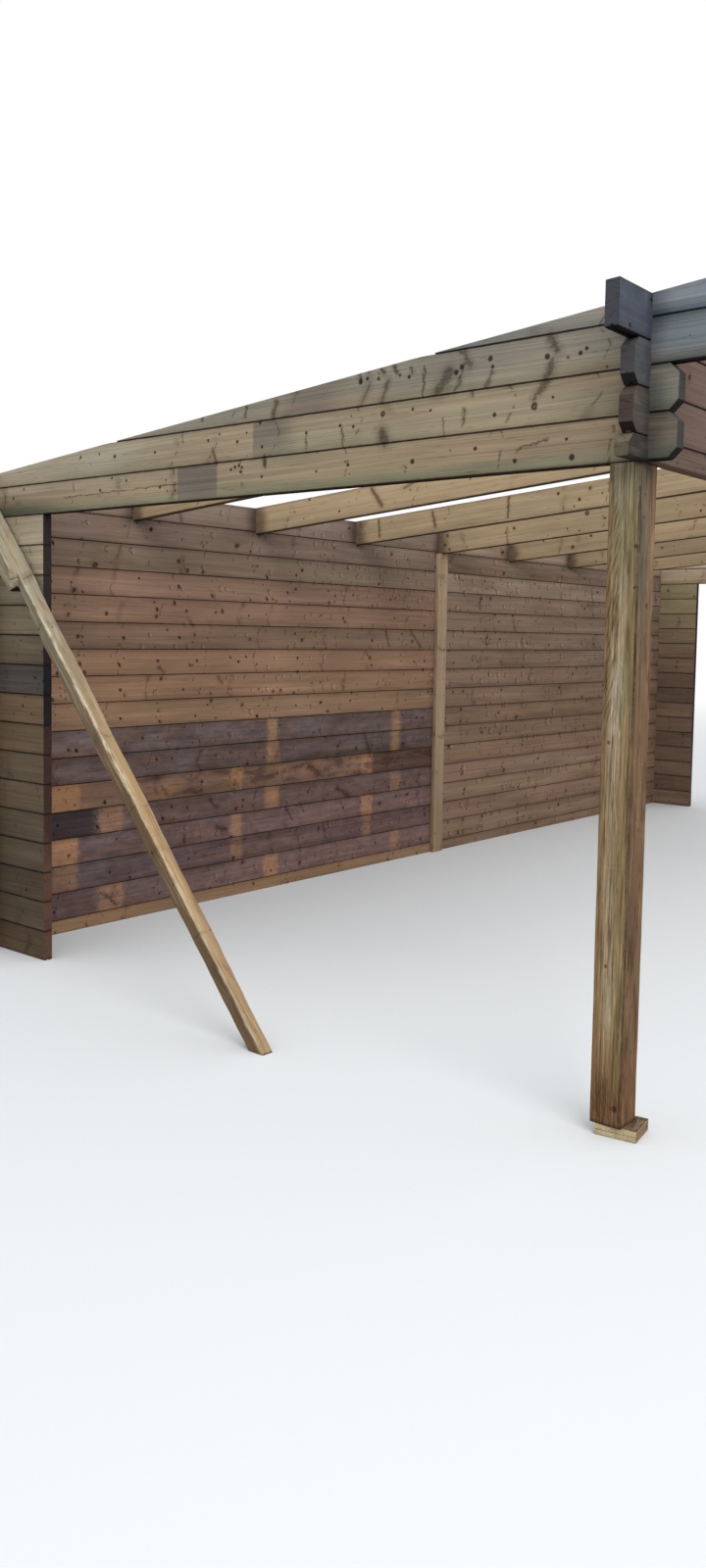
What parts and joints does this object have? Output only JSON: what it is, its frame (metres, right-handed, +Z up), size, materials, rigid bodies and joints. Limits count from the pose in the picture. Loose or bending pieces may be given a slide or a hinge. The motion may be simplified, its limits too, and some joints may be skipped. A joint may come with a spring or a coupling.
{
  "type": "open-fronted garden shelter",
  "caption": "Single-pitch garden shelter of interlocking logs: solid back wall, short return walls, open front on posts, bare rafters and a diagonal prop.",
  "frame": {"origin": "on the ground, at the bottom centre of the whole frame's box", "axes": "+X along the shelter to its right end, +Y from the open front to the back wall, +Z up"},
  "size_m": [7.4471, 3.694, 2.5224],
  "materials": {
    "back_wall_wood": "sawn and planed pine logs, pressure treated, with a stained lower left area",
    "beam_wood": "planed pine logs, pressure treated, greenish and weathered",
    "return_wall_wood": "planed pine logs, pressure treated",
    "rafter_wood": "planed pine, bright and new",
    "post_wood": "rough-sawn pine, pressure treated, streaked green and grey",
    "packer_wood": "rough-sawn pine offcuts",
    "board_wood": "planed pine board",
    "prop_wood": "rough squared pine with waney edges"
  },
  "bodies": {
    "root": {"back_wall_half_logs": "back_wall_wood", "back_wall_joint_cover": "board_wood", "back_wall_left_even_logs": "back_wall_wood", "back_wall_left_odd_logs": "back_wall_wood", "back_wall_right_even_logs": "back_wall_wood", "back_wall_right_odd_logs": "back_wall_wood", "back_wall_top_logs": "back_wall_wood", "diagonal_prop": "prop_wood", "left_corner_post": "post_wood", "left_lintel_half_log": "beam_wood", "left_lintel_log_1": "beam_wood", "left_lintel_log_2": "beam_wood", "left_lintel_top_log": "beam_wood", "left_return_wall_even_logs": "return_wall_wood", "left_return_wall_odd_logs": "return_wall_wood", "left_side_beam_1": "beam_wood", "left_side_beam_2": "beam_wood", "left_side_beam_3": "beam_wood", "left_side_beam_4": "beam_wood", "lintel_joint_cover": "board_wood", "lower_packers": "packer_wood", "middle_post": "post_wood", "rafter_1": "rafter_wood", "rafter_2": "rafter_wood", "rafter_3": "rafter_wood", "rafter_4": "rafter_wood", "rafter_5": "rafter_wood", "rafter_6": "rafter_wood", "rafter_7": "rafter_wood", "right_corner_post": "post_wood", "right_lintel_half_log": "beam_wood", "right_lintel_log_1": "beam_wood", "right_lintel_log_2": "beam_wood", "right_lintel_top_log": "beam_wood", "right_return_wall_even_logs": "return_wall_wood", "right_return_wall_odd_logs": "return_wall_wood", "right_side_beam_1": "beam_wood", "right_side_beam_2": "beam_wood", "right_side_beam_3": "beam_wood", "right_side_beam_4": "beam_wood", "upper_packers": "packer_wood"}
  },
  "joints": []
}
